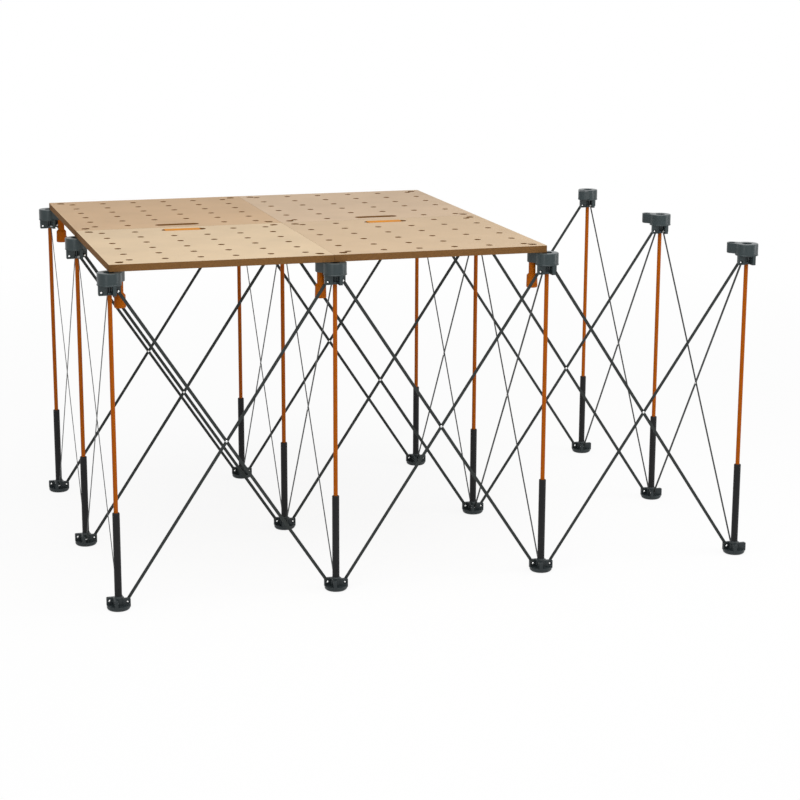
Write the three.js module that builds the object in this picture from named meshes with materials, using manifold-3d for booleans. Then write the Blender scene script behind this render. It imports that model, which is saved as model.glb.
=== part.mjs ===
// Folding work stand: twelve telescoping legs on a scissor frame that folds both ways at once,
// with two perforated half tops laid on nine of the leg heads.
// Millimetres, +Z up. The origin is on the floor, under the middle of the frame.
// Columns a to d run along +X, left to right. Rows 1 to 3 run along +Y, front to back.

import * as THREE from 'three';
import { mergeVertices } from 'three/addons/utils/BufferGeometryUtils.js';
import Module from 'manifold-3d';

const wasm = await Module();
wasm.setup();

// Frame
const COLUMNS = ['a', 'b', 'c', 'd'];
const ROWS = ['1', '2', '3'];
const LEG_PITCH = 609.6;
const STAND_HEIGHT = 925;

// Link bars and the pivots at their ends and middle
const PIVOT_REACH = 23;
const FOOT_PIVOT_HEIGHT = 23;
const HEAD_PIVOT_DROP = 52;
const LINK_WIDTH = 9;
const LINK_THICKNESS = 2;
const LINK_GAP = 0.6;
const PIN_RADIUS = 3;
const PIN_CLEARANCE = 0.4;
const RIVET_HEAD_RADIUS = 4.2;
const RIVET_HEAD_HEIGHT = 1.5;
const RIVET_CLEARANCE = 0.3;

// Slots that take the link ends, in heads and feet alike, with a pin across each
const PIN_LENGTH = 20;
const SLOT_SIDE_CLEARANCE = 0.8;
const SLOT_END_CLEARANCE = 1;
const OVERCUT = 1;

// Head
const DRUM_RADIUS = 33;
const DRUM_HEIGHT = 34;
const SOCKET_RADIUS = 14;
const SOCKET_DEPTH = 26;
const CLEVIS_RADIUS = 31;
const CLEVIS_HEIGHT = 26;
const EAR_REACH = 45;
const EAR_RADIUS = 14.5;
const EAR_HEIGHT = 30;
const PEG_NECK_RADIUS = 10;
const PEG_NECK_LENGTH = 31;
const PEG_GRIP_RADIUS = 15.5;
const PEG_GRIP_LENGTH = 40;
const PEG_SHOULDER = 5;

// Foot and telescoping leg
const FOOT_RADIUS = 32;
const FOOT_HEIGHT = 33;
const FOOT_EDGE = 6;
const STRUT_RADIUS = 6;
const SLEEVE_RADIUS = 10;
const SLEEVE_TOP = 272;
const SLEEVE_FLOOR = 30;
const BORE_CLEARANCE = 0.5;
const STRUT_TOE_CLEARANCE = 8;

// Half tops: each is two square panels on one hinge strip
const TOP_NAMES = ['top_left', 'top_right'];
const PANEL_THICKNESS = 19;
const TOP_CLEARANCE = 0.3;
const HALF_GAP = 1;
const SEAM_WIDTH = 2;
const HINGE_STRIP = 3;
const DOG_RADIUS = 9.5;
const LEFT_DOG_EDGE = 64.8;
const RIGHT_DOG_EDGE = 50.8;
const DOGS_PER_SIDE = 6;
const HAND_SLOT_EDGE = 50.8;
const HAND_SLOT_LENGTH = 130;
const HAND_SLOT_WIDTH = 32;
const HANDLE_LENGTH = 102;
const HANDLE_SHIFT = 4;
const HANDLE_RECESS = 0.5;
const KEYHOLE_RADIUS = 11.5;
const KEYHOLE_TAIL_LENGTH = 9;
const KEYHOLE_TAIL_WIDTH = 13;

// Finishes
const UPPER_LEG_FINISH = { color: 0xb4601c, roughness: 0.4, metalness: 0.3 };
const LOWER_LEG_FINISH = { color: 0x33383a, roughness: 0.5, metalness: 0.1 };
const LINK_FINISH = { color: 0x3a3d40, roughness: 0.45, metalness: 0.7 };
const TOP_FINISH = { color: 0xd2b48c, roughness: 0.7, metalness: 0 };

// Facets
const DRUM_SIDES = 12;
const SOCKET_SIDES = 12;
const TUBE_SIDES = 8;
const PIN_SIDES = 5;
const PIN_HOLE_SIDES = 6;
const DOG_SIDES = 6;
const ARC_STEPS = 2;

// Worked-out places
const HEAD_PIVOT_HEIGHT = STAND_HEIGHT - HEAD_PIVOT_DROP;
const LINK_RUN = LEG_PITCH - 2 * PIVOT_REACH;
const LINK_RISE = HEAD_PIVOT_HEIGHT - FOOT_PIVOT_HEIGHT;
const LINK_LENGTH = Math.hypot(LINK_RUN, LINK_RISE);
const LINK_TILT = Math.atan2(LINK_RISE, LINK_RUN);
const LINK_OFFSET = (LINK_THICKNESS + LINK_GAP) / 2;
const LINK_END_REACH = LINK_WIDTH / 2 + SLOT_END_CLEARANCE;
const DRUM_BOTTOM = STAND_HEIGHT - DRUM_HEIGHT;
const HEAD_BOTTOM = DRUM_BOTTOM - CLEVIS_HEIGHT;
const EAR_BOTTOM = STAND_HEIGHT - EAR_HEIGHT;
const EAR_OFFSET = EAR_REACH * Math.SQRT1_2;
const TOP_BOTTOM = STAND_HEIGHT + TOP_CLEARANCE;
const TOP_SURFACE = TOP_BOTTOM + PANEL_THICKNESS;
const DOG_EDGES = [LEFT_DOG_EDGE, RIGHT_DOG_EDGE];
const QUARTER_TURN = Math.PI / 2;

const legX = (column) => (column - (COLUMNS.length - 1) / 2) * LEG_PITCH;
const legY = (row) => (row - (ROWS.length - 1) / 2) * LEG_PITCH;
const legName = (column, row) => `${COLUMNS[column]}${ROWS[row]}`;

// Solids, joined and cut
function solid(geometry) {
  geometry.deleteAttribute('normal');
  geometry.deleteAttribute('uv');
  const merged = mergeVertices(geometry);
  return new wasm.Manifold(new wasm.Mesh({
    numProp: 3,
    vertProperties: Float32Array.from(merged.attributes.position.array),
    triVerts: Uint32Array.from(merged.index.array),
  }));
}

function namedMesh(name, shape, finish) {
  const { vertProperties, triVerts } = shape.getMesh();
  const geometry = new THREE.BufferGeometry();
  geometry.setAttribute('position', new THREE.BufferAttribute(vertProperties, 3));
  geometry.setIndex(new THREE.BufferAttribute(triVerts, 1));
  geometry.computeVertexNormals();
  const mesh = new THREE.Mesh(geometry, new THREE.MeshStandardMaterial(finish));
  mesh.name = name;
  return mesh;
}

function upright(topRadius, bottomRadius, bottom, top, sides) {
  const geometry = new THREE.CylinderGeometry(topRadius, bottomRadius, top - bottom, sides);
  geometry.rotateX(QUARTER_TURN);
  geometry.translate(0, 0, (bottom + top) / 2);
  return geometry;
}

function crosswise(radius, length, sides) {
  return new THREE.CylinderGeometry(radius, radius, length, sides);
}

function box(low, high) {
  const geometry = new THREE.BoxGeometry(high[0] - low[0], high[1] - low[1], high[2] - low[2]);
  geometry.translate((low[0] + high[0]) / 2, (low[1] + high[1]) / 2, (low[2] + high[2]) / 2);
  return geometry;
}

function plate(outline, bottom, top, steps) {
  const geometry = new THREE.ExtrudeGeometry(outline, {
    depth: top - bottom,
    bevelEnabled: false,
    curveSegments: steps,
  });
  geometry.translate(0, 0, bottom);
  return geometry;
}

// A round hole as a polygon whose flats lie at the radius, so that a pin of that radius clears it
function roundHole(x, y, radius, sides) {
  const points = [];
  const reach = radius / Math.cos(Math.PI / sides);
  for (let side = 0; side < sides; side += 1) {
    const angle = 2 * Math.PI * side / sides;
    points.push(new THREE.Vector2(x + reach * Math.cos(angle), y + reach * Math.sin(angle)));
  }
  return new THREE.Path(points);
}

// Four slots round a leg axis, each offset to the side that its link passes on.
// side is +1 where the slot toward +X lies at +Y of the axis, and -1 where it lies at -Y.
// links lists the quarter turns that hold a link, and so a pin. The others stay empty.
function cutSlots(body, { radius, slotBottom, slotTop, pivotHeight, side, links }) {
  let made = body;
  const slotHalf = LINK_THICKNESS / 2 + SLOT_SIDE_CLEARANCE;
  const slotOffset = side * LINK_OFFSET;
  const slotInner = PIVOT_REACH - LINK_END_REACH;
  const slotOuter = radius + OVERCUT;
  for (let turn = 0; turn < 4; turn += 1) {
    const slotLow = [slotInner, slotOffset - slotHalf, slotBottom];
    const slotHigh = [slotOuter, slotOffset + slotHalf, slotTop];
    const slot = box(slotLow, slotHigh);
    slot.rotateZ(turn * QUARTER_TURN);
    made = made.subtract(solid(slot));
    if (links.includes(turn)) {
      const pin = crosswise(PIN_RADIUS, PIN_LENGTH, PIN_SIDES);
      pin.translate(PIVOT_REACH, 0, pivotHeight);
      pin.rotateZ(turn * QUARTER_TURN);
      made = made.add(solid(pin));
    }
  }
  return made;
}

// Upper leg: head, ear, strut and, under the top's edges, the locking peg
function upperLeg(column, row, links, hasPeg) {
  const earX = column === 0 ? 1 : -1;
  const earY = row === ROWS.length - 1 ? -1 : 1;
  const earAngle = Math.atan2(earY, earX);
  let body = solid(upright(DRUM_RADIUS, DRUM_RADIUS, DRUM_BOTTOM, STAND_HEIGHT, DRUM_SIDES));
  const ear = new THREE.Shape();
  ear.moveTo(0, -EAR_RADIUS);
  ear.lineTo(EAR_REACH, -EAR_RADIUS);
  ear.absarc(EAR_REACH, 0, EAR_RADIUS, -QUARTER_TURN, QUARTER_TURN, false);
  ear.lineTo(0, EAR_RADIUS);
  const earBlock = plate(ear, EAR_BOTTOM, STAND_HEIGHT, ARC_STEPS);
  earBlock.rotateZ(earAngle);
  body = body.add(solid(earBlock));
  const clevisTop = DRUM_BOTTOM + OVERCUT;
  body = body.add(solid(upright(CLEVIS_RADIUS, CLEVIS_RADIUS, HEAD_BOTTOM, clevisTop, DRUM_SIDES)));
  body = cutSlots(body, {
    radius: CLEVIS_RADIUS,
    slotBottom: HEAD_BOTTOM - OVERCUT,
    slotTop: HEAD_PIVOT_HEIGHT + LINK_END_REACH,
    pivotHeight: HEAD_PIVOT_HEIGHT,
    side: 1,
    links,
  });
  const strutBottom = SLEEVE_FLOOR + STRUT_TOE_CLEARANCE;
  body = body.add(solid(upright(STRUT_RADIUS, STRUT_RADIUS, strutBottom, DRUM_BOTTOM, TUBE_SIDES)));
  const socketBottom = STAND_HEIGHT - SOCKET_DEPTH;
  const socketTop = STAND_HEIGHT + OVERCUT;
  body = body.subtract(solid(upright(SOCKET_RADIUS, SOCKET_RADIUS, socketBottom, socketTop, SOCKET_SIDES)));
  if (hasPeg) {
    const neckBottom = EAR_BOTTOM - PEG_NECK_LENGTH;
    const gripBottom = neckBottom - PEG_GRIP_LENGTH;
    const gripTop = neckBottom - PEG_SHOULDER;
    const profile = [
      new THREE.Vector2(0, gripBottom),
      new THREE.Vector2(PEG_GRIP_RADIUS, gripBottom),
      new THREE.Vector2(PEG_GRIP_RADIUS, gripTop),
      new THREE.Vector2(PEG_NECK_RADIUS, neckBottom),
      new THREE.Vector2(PEG_NECK_RADIUS, EAR_BOTTOM + OVERCUT),
      new THREE.Vector2(0, EAR_BOTTOM + OVERCUT),
    ];
    const peg = new THREE.LatheGeometry(profile, TUBE_SIDES);
    peg.rotateX(QUARTER_TURN);
    peg.translate(earX * EAR_OFFSET, earY * EAR_OFFSET, 0);
    body = body.add(solid(peg));
  }
  return body;
}

// Lower leg: foot and sleeve, with the bore that the strut slides in
function lowerLeg(links) {
  const profile = [
    new THREE.Vector2(0, 0),
    new THREE.Vector2(FOOT_RADIUS - FOOT_EDGE, 0),
    new THREE.Vector2(FOOT_RADIUS, FOOT_EDGE),
    new THREE.Vector2(FOOT_RADIUS, FOOT_HEIGHT),
    new THREE.Vector2(0, FOOT_HEIGHT),
  ];
  const base = new THREE.LatheGeometry(profile, DRUM_SIDES);
  base.rotateX(QUARTER_TURN);
  let body = cutSlots(solid(base), {
    radius: FOOT_RADIUS,
    slotBottom: FOOT_PIVOT_HEIGHT - LINK_END_REACH,
    slotTop: FOOT_HEIGHT + OVERCUT,
    pivotHeight: FOOT_PIVOT_HEIGHT,
    side: -1,
    links,
  });
  body = body.add(solid(upright(SLEEVE_RADIUS, SLEEVE_RADIUS, FOOT_EDGE, SLEEVE_TOP, TUBE_SIDES)));
  const boreRadius = STRUT_RADIUS + BORE_CLEARANCE;
  const boreTop = SLEEVE_TOP + OVERCUT;
  return body.subtract(solid(upright(boreRadius, boreRadius, SLEEVE_FLOOR, boreTop, TUBE_SIDES)));
}

// Link bar along its own X, with its middle at the origin and its flat sides facing Y.
// A riveted bar carries the middle rivet, which runs through the other bar's hole, on the side given.
function linkBar(rivetSide) {
  const end = LINK_LENGTH / 2;
  const half = LINK_WIDTH / 2;
  const outline = new THREE.Shape();
  outline.absarc(end, 0, half, -QUARTER_TURN, QUARTER_TURN, false);
  outline.absarc(-end, 0, half, QUARTER_TURN, 3 * QUARTER_TURN, false);
  const holes = rivetSide ? [-end, end] : [-end, 0, end];
  for (const place of holes) {
    outline.holes.push(roundHole(place, 0, PIN_RADIUS + PIN_CLEARANCE, PIN_HOLE_SIDES));
  }
  const bar = plate(outline, -LINK_THICKNESS / 2, LINK_THICKNESS / 2, ARC_STEPS);
  bar.rotateX(QUARTER_TURN);
  let body = solid(bar);
  if (rivetSide) {
    const nearFace = -LINK_THICKNESS / 2 - RIVET_HEAD_HEIGHT;
    const farFace = 2 * LINK_OFFSET + LINK_THICKNESS / 2 + RIVET_CLEARANCE;
    const farEnd = farFace + RIVET_HEAD_HEIGHT;
    const shank = crosswise(PIN_RADIUS, farEnd - nearFace, PIN_SIDES);
    shank.translate(0, rivetSide * (farEnd + nearFace) / 2, 0);
    body = body.add(solid(shank));
    for (const face of [nearFace, farFace]) {
      const head = crosswise(RIVET_HEAD_RADIUS, RIVET_HEAD_HEIGHT, PIN_HOLE_SIDES);
      head.translate(0, rivetSide * (face + RIVET_HEAD_HEIGHT / 2), 0);
      body = body.add(solid(head));
    }
  }
  return body;
}

// Half top: two panels, front and rear, over one column bay, with its low X edge at x = 0.
// dogEdge is how far the outer dog holes lie from the panels' edges.
function halfTop(dogEdge) {
  const width = LEG_PITCH - HALF_GAP;
  const depth = (ROWS.length - 1) * LEG_PITCH;
  const middle = width / 2;
  const dogPitch = (LEG_PITCH - 2 * dogEdge) / (DOGS_PER_SIDE - 1);
  const firstDog = dogEdge - LEG_PITCH / 2;
  const slotHalf = HAND_SLOT_WIDTH / 2;
  const outline = new THREE.Shape();
  outline.moveTo(0, -depth / 2);
  outline.lineTo(width, -depth / 2);
  outline.lineTo(width, depth / 2);
  outline.lineTo(0, depth / 2);
  const keyholes = [];
  for (const panel of [-1, 1]) {
    const panelY = panel * LEG_PITCH / 2;
    // Dog holes, left out where the hand slot takes the two middle places of the seam row
    for (let row = 0; row < DOGS_PER_SIDE; row += 1) {
      for (let place = 0; place < DOGS_PER_SIDE; place += 1) {
        const dogX = middle + firstDog + place * dogPitch;
        const dogY = panelY + panel * (firstDog + row * dogPitch);
        const inSlot = row === 0 && Math.abs(dogX - middle) < dogPitch;
        if (!inSlot) {
          outline.holes.push(roundHole(dogX, dogY, DOG_RADIUS, DOG_SIDES));
        }
      }
    }
    // Hand slot near the seam
    const slotY = panel * HAND_SLOT_EDGE;
    const arcX = HAND_SLOT_LENGTH / 2 - slotHalf;
    const slot = new THREE.Path();
    slot.absarc(middle + arcX, slotY, slotHalf, -QUARTER_TURN, QUARTER_TURN, false);
    slot.absarc(middle - arcX, slotY, slotHalf, QUARTER_TURN, 3 * QUARTER_TURN, false);
    outline.holes.push(slot);
    // Keyholes over the ears: a round hole near each corner, with its tail toward the panel's middle
    for (const across of [-1, 1]) {
      for (const along of [-1, 1]) {
        const keyX = middle + across * (LEG_PITCH / 2 - EAR_OFFSET);
        const keyY = panelY + along * (LEG_PITCH / 2 - EAR_OFFSET);
        const inward = Math.atan2(-along, -across);
        const tailRadius = KEYHOLE_TAIL_WIDTH / 2;
        const mouth = Math.asin(tailRadius / KEYHOLE_RADIUS);
        const tailX = keyX + KEYHOLE_TAIL_LENGTH * Math.cos(inward);
        const tailY = keyY + KEYHOLE_TAIL_LENGTH * Math.sin(inward);
        const key = new THREE.Shape();
        key.absarc(keyX, keyY, KEYHOLE_RADIUS, inward + mouth, inward - mouth + 2 * Math.PI, false);
        key.absarc(tailX, tailY, tailRadius, inward - QUARTER_TURN, inward + QUARTER_TURN, false);
        keyholes.push(key);
      }
    }
  }
  let body = solid(plate(outline, TOP_BOTTOM, TOP_SURFACE, ARC_STEPS));
  const above = TOP_SURFACE + OVERCUT;
  for (const key of keyholes) {
    body = body.subtract(solid(plate(key, TOP_BOTTOM - OVERCUT, above, ARC_STEPS)));
  }
  // Seam between the panels, cut down to the hinge strip
  const seamLow = [-OVERCUT, -SEAM_WIDTH / 2, TOP_BOTTOM + HINGE_STRIP];
  const seamHigh = [width + OVERCUT, SEAM_WIDTH / 2, above];
  body = body.subtract(solid(box(seamLow, seamHigh)));
  // Handle bar across the front panel's hand slot, let into both of its sides
  const handleX = middle - HANDLE_SHIFT;
  const handleHalf = HANDLE_LENGTH / 2;
  const grip = slotHalf + OVERCUT;
  const handleLow = [handleX - handleHalf, -HAND_SLOT_EDGE - grip, TOP_BOTTOM + HANDLE_RECESS];
  const handleHigh = [handleX + handleHalf, -HAND_SLOT_EDGE + grip, TOP_SURFACE - HANDLE_RECESS];
  return body.add(solid(box(handleLow, handleHigh)));
}

// The assembly
const stand = new THREE.Group();

// The quarter turns, from +X, at which a leg has a neighbour
function neighbours(column, row) {
  const turns = [];
  if (column < COLUMNS.length - 1) turns.push(0);
  if (row < ROWS.length - 1) turns.push(1);
  if (column > 0) turns.push(2);
  if (row > 0) turns.push(3);
  return turns;
}

for (let column = 0; column < COLUMNS.length; column += 1) {
  for (let row = 0; row < ROWS.length; row += 1) {
    const leg = new THREE.Group();
    leg.position.set(legX(column), legY(row), 0);
    const links = neighbours(column, row);
    const underTop = column <= TOP_NAMES.length;
    const onEdge = row === 0 || row === ROWS.length - 1;
    const name = legName(column, row);
    const upper = upperLeg(column, row, links, underTop && onEdge);
    leg.add(namedMesh(`leg_${name}_upper`, upper, UPPER_LEG_FINISH));
    leg.add(namedMesh(`leg_${name}_lower`, lowerLeg(links), LOWER_LEG_FINISH));
    stand.add(leg);
  }
}

// One scissor pair between two neighbouring legs. Its group's X points from the first leg to the second.
// The rivet belongs to the bar that stands on a foot of even parity, so that it alternates over the frame.
function scissorPair(first, second, evenFoot, turn, x, y) {
  const pair = new THREE.Group();
  pair.position.set(x, y, (HEAD_PIVOT_HEIGHT + FOOT_PIVOT_HEIGHT) / 2);
  pair.rotation.z = turn;
  const rising = namedMesh(`link_foot_${first}_head_${second}`, linkBar(evenFoot ? 1 : 0), LINK_FINISH);
  rising.position.y = -LINK_OFFSET;
  rising.rotation.y = -LINK_TILT;
  const falling = namedMesh(`link_foot_${second}_head_${first}`, linkBar(evenFoot ? 0 : -1), LINK_FINISH);
  falling.position.y = LINK_OFFSET;
  falling.rotation.y = LINK_TILT;
  pair.add(rising, falling);
  return pair;
}

for (let column = 0; column < COLUMNS.length; column += 1) {
  for (let row = 0; row < ROWS.length; row += 1) {
    const evenFoot = (column + row) % 2 === 0;
    const here = legName(column, row);
    if (column < COLUMNS.length - 1) {
      const next = legName(column + 1, row);
      stand.add(scissorPair(here, next, evenFoot, 0, legX(column + 0.5), legY(row)));
    }
    if (row < ROWS.length - 1) {
      const next = legName(column, row + 1);
      stand.add(scissorPair(here, next, evenFoot, QUARTER_TURN, legX(column), legY(row + 0.5)));
    }
  }
}

TOP_NAMES.forEach((name, column) => {
  const top = namedMesh(name, halfTop(DOG_EDGES[column]), TOP_FINISH);
  top.position.x = legX(column) + HALF_GAP / 2;
  stand.add(top);
});

export default stand;
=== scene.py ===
# Folding work stand: moulded heads and feet, telescoping legs, scissor bars and a perforated top.
# Shapes are modelled in millimetres and scaled to metres as they become meshes.
import math

import bmesh
import bpy
from mathutils import Matrix, Vector
from mathutils.geometry import delaunay_2d_cdt


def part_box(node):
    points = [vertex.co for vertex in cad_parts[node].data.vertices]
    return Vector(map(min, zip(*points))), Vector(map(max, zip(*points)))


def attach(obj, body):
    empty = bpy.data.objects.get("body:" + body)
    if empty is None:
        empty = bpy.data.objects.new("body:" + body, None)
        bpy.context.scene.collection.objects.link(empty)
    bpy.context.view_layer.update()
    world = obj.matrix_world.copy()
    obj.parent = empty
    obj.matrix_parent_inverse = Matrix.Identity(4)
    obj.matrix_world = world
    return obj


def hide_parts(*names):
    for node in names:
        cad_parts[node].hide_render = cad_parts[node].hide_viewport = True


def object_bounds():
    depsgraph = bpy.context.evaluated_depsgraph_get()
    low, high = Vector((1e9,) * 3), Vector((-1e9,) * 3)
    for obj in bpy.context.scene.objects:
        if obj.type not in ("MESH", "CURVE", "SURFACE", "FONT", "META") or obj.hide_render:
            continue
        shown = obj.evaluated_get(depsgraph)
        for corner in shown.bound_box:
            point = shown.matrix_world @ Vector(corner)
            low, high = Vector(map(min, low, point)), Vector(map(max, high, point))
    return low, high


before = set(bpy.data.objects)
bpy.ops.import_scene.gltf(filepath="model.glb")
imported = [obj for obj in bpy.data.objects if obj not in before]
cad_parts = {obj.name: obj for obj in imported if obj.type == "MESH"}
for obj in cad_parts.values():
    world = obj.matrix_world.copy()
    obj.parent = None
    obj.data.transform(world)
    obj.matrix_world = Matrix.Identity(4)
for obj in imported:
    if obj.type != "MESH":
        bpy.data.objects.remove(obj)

cad_low, cad_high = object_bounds()

# Places read from the frame, in millimetres
MM = 0.001
COLUMNS = "abcd"
ROWS = "123"
HALF_TOPS = ("left", "right")


def box_mm(node):
    low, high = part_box(node)
    return low / MM, high / MM


def leg_axis(leg):
    low, high = box_mm(f"leg_{leg}_lower")
    return Vector(((low.x + high.x) / 2, (low.y + high.y) / 2, 0))


HEAD_TOP = box_mm("leg_b2_upper")[1].z
SLEEVE_TOP = box_mm("leg_b2_lower")[1].z
TOP_BOTTOM = box_mm("top_left")[0].z
TOP_SURFACE = box_mm("top_left")[1].z
LEG_PITCH = (leg_axis("c2") - leg_axis("b2")).x

# Pivots and bars
PIVOT_REACH = 23
FOOT_PIVOT = 23
HEAD_PIVOT_DROP = 52
HEAD_PIVOT = HEAD_TOP - HEAD_PIVOT_DROP
BAR_WIDTH = 9
BAR_THICKNESS = 1.2
BAR_OFFSET = 1.3
BAR_EDGE = 0.3
PIN_RADIUS = 2.4
PIN_HOLE = 2.8
RIVET_RADIUS = 3.4
RIVET_TAIL_RADIUS = 3.5
RIVET_DOME = 1.6
RIVET_GAP = 0.1
DOME_SHARES = ((0.55, 0.82), (0.88, 0.4))  # of the radius and the dome's height, from the top down
TAIL_SHARES = ((0.88, 0.6), (0.55, 1.1), (0, 1.3))  # the same for the tail, from its base up

# Lugs that carry the bars, set round the leg like a pinwheel. A hand is +1 where the lugs lie to the
# left of their bars, seen from the leg, and -1 where they lie to the right.
TURNS = range(4)
HEAD_HAND = 1
FOOT_HAND = -1
LUG_INNER = 5
LUG_OUTER = 14
LUG_EDGE = 1.2
LUG_CORNER = 2.5
LUG_START = 8
COUNTERBORE_RADIUS = 5.4
COUNTERBORE_DEPTH = 3.4

# Head
DRUM_RADIUS = 32.2
DRUM_HEIGHT = 34
DRUM_RIM = 2
DRUM_LIP = 0.8
DRUM_LIP_HEIGHT = 2.6
SOCKET_RADIUS = 14
SOCKET_DEPTH = 26
SOCKET_LIP = 1.2
HEAD_HUB_RADIUS = 7
HEAD_HUB_LENGTH = 25
HEAD_COLLAR_RADIUS = 13.5
HEAD_COLLAR_HEIGHT = 7
HEAD_LUG_REACH = 31.3
HEAD_LUG_LENGTH = 25.5
EAR_REACH = 45
EAR_RADIUS = 14.5
EAR_ROOT = 24
EAR_HEIGHT = 30
EAR_DROP = 0.4
EAR_HOLE = 10.4
EAR_RIM = 1.6
EAR_FOOT = 2.6

# Locking peg
PEG_NECK = 9.7
PEG_NECK_LENGTH = 31
PEG_GRIP = 15
PEG_FLARE = 15.8
PEG_LENGTH = 71
PEG_SHOULDER = 6
PEG_EDGE = 1.6
PEG_COLLAR = 2
PEG_RIDGES = 10
PEG_RIDGE_DEPTH = 1.3
PEG_TIP_DROP = 1.5

# Foot and telescoping leg
FOOT_RADIUS = 32
FOOT_HEIGHT = 33
FOOT_ROUND = 8
FOOT_PLATE = 13
FOOT_HUB = 15.5
FOOT_LUG_REACH = 31.2
COLLAR_SWEEP = 5
FOOT_TOP = FOOT_HEIGHT + COLLAR_SWEEP
STRUT_RADIUS = 6
STRUT_TOE = 38
STRUT_EDGE = 0.8
SLEEVE_RADIUS = 10
SLEEVE_BORE = 6.5
SLEEVE_SHOULDER = 2.4
SLEEVE_BAND = 6
SLEEVE_FLUTES = 16
SLEEVE_FLUTE_DEPTH = 0.22
SLEEVE_HOLE_HEIGHT = 58
SLEEVE_HOLE_RADIUS = 1.8
SLEEVE_HOLE_DEPTH = 1.6

# Half tops
HALF_GAP = 0.4
SEAM_WIDTH = 0.8
HINGE_STRIP = 3
PANEL_EDGE = 0.9
PANEL_CORNER = 2
DOG_RADIUS = 9.5
DOG_EDGES = {"left": 64.8, "right": 50.8}
DOGS_PER_SIDE = 6
HAND_SLOT_EDGE = 50.8
HAND_SLOT_LENGTH = 130
HAND_SLOT_WIDTH = 32
HANDLE_LENGTH = 102
HANDLE_SHIFT = 4
HANDLE_RECESS = 0.5
HANDLE_RISE = 0.8
HANDLE_CLEARANCE = 0.4
HANDLE_EDGE = 1
KEYHOLE_RADIUS = 11.5
KEYHOLE_TAIL_LENGTH = 9
KEYHOLE_TAIL_WIDTH = 13

QUARTER = math.pi / 2

# How finely the shapes are built: sides of a circle or a ridge, steps of an arc and cuts of a rounded rim
ROUND_SIDES = 48
SMALL_SIDES = 24
HOLE_SIDES = 12
DOG_SIDES = 28
RIDGE_SIDES = 4
CORNER_STEPS = 4
EAR_STEPS = 16
SOLE_STEPS = 8
SWEEP_STEPS = 6
BAR_END_STEPS = 10
SLOT_END_STEPS = 12
BOW_STEPS = 18
TAIL_STEPS = 8
RIM_SEGMENTS = 3
RIM_PROFILE = 0.5

# Limits for shading and for cleaning a mesh, in degrees and millimetres
SMOOTH_ANGLE = 35
FLAT_ANGLE = 14
MERGE_ANGLE = 0.5
TOLERANCE = 1e-6
WELD_DISTANCE = 0.005


# Outlines and solids
def arc(x, y, radius, start, end, steps):
    points = []
    for step in range(steps + 1):
        angle = start + (end - start) * step / steps
        points.append((x + radius * math.cos(angle), y + radius * math.sin(angle)))
    return points


def circle(x, y, radius, sides):
    return arc(x, y, radius, 0, 2 * math.pi, sides)[:-1]


def rounded_box(low, high, radius):
    (x0, y0), (x1, y1) = low, high
    return [
        *arc(x1 - radius, y0 + radius, radius, -QUARTER, 0, CORNER_STEPS),
        *arc(x1 - radius, y1 - radius, radius, 0, QUARTER, CORNER_STEPS),
        *arc(x0 + radius, y1 - radius, radius, QUARTER, 2 * QUARTER, CORNER_STEPS),
        *arc(x0 + radius, y0 + radius, radius, 2 * QUARTER, 3 * QUARTER, CORNER_STEPS),
    ]


def stadium(x, y, length, width, steps):
    half = width / 2
    reach = length / 2 - half
    right = arc(x + reach, y, half, -QUARTER, QUARTER, steps)
    left = arc(x - reach, y, half, QUARTER, 3 * QUARTER, steps)
    return [*right, *left]


def lathe(profile, sides, ridge=None):
    """Solid of revolution round Z. The profile runs from the axis, out and up, to the axis again.
    A third value in the profile marks a fluted length, where ridge gives each side's change of radius."""
    solid = bmesh.new()
    rings = []
    for radius, height, *fluted in profile:
        if radius == 0:
            rings.append([solid.verts.new((0, 0, height))])
            continue
        loop = []
        for side in range(sides):
            angle = 2 * math.pi * side / sides
            reach = radius + (ridge(side) if fluted else 0)
            loop.append(solid.verts.new((reach * math.cos(angle), reach * math.sin(angle), height)))
        rings.append(loop)
    for lower, upper in zip(rings, rings[1:]):
        for side in range(sides):
            after = side + 1
            corners = (
                lower[side % len(lower)],
                lower[after % len(lower)],
                upper[after % len(upper)],
                upper[side % len(upper)],
            )
            solid.faces.new(dict.fromkeys(corners))
    return solid


def filled(outline, holes):
    """The points and triangles that fill an outline round its holes."""
    triangles_inside = 1
    points = []
    loops = []
    for loop in (outline, *holes):
        loops.append(range(len(points), len(points) + len(loop)))
        points += [Vector(point) for point in loop]
    made = delaunay_2d_cdt(points, [], loops, triangles_inside, TOLERANCE)
    points, _, triangles, _, _, sources = made
    # A triangle of the solid lies in the outline alone, and one of a hole in two loops
    return points, [triangle for triangle, source in zip(triangles, sources) if len(source) == 1]


def prism(outline, holes, low, high, low_edge, high_edge):
    """Solid of an outline with holes between two heights, with its lower and upper rims rounded."""
    solid = bmesh.new()
    points, triangles = filled(outline, holes)
    corners = [solid.verts.new((*point, low)) for point in points]
    for triangle in triangles:
        solid.faces.new([corners[place] for place in triangle])
    grown = bmesh.ops.extrude_face_region(solid, geom=solid.faces[:])["geom"]
    raised = [item for item in grown if isinstance(item, bmesh.types.BMVert)]
    bmesh.ops.translate(solid, verts=raised, vec=(0, 0, high - low))
    bmesh.ops.recalc_face_normals(solid, faces=solid.faces[:])
    round_rim(solid, low, low_edge)
    round_rim(solid, high, high_edge)
    return in_order(solid)


def round_rim(solid, height, width):
    """Rounds the edges between the flat cap at a height and the walls."""
    rim = []
    for edge in solid.edges:
        level = all(abs(vert.co.z - height) < TOLERANCE for vert in edge.verts)
        if level and edge.calc_face_angle(0) > QUARTER / 2:
            rim.append(edge)
    bmesh.ops.bevel(
        solid, geom=rim, offset=width, offset_type="OFFSET", segments=RIM_SEGMENTS, profile=RIM_PROFILE,
        affect="EDGES", clamp_overlap=True,
    )


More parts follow.
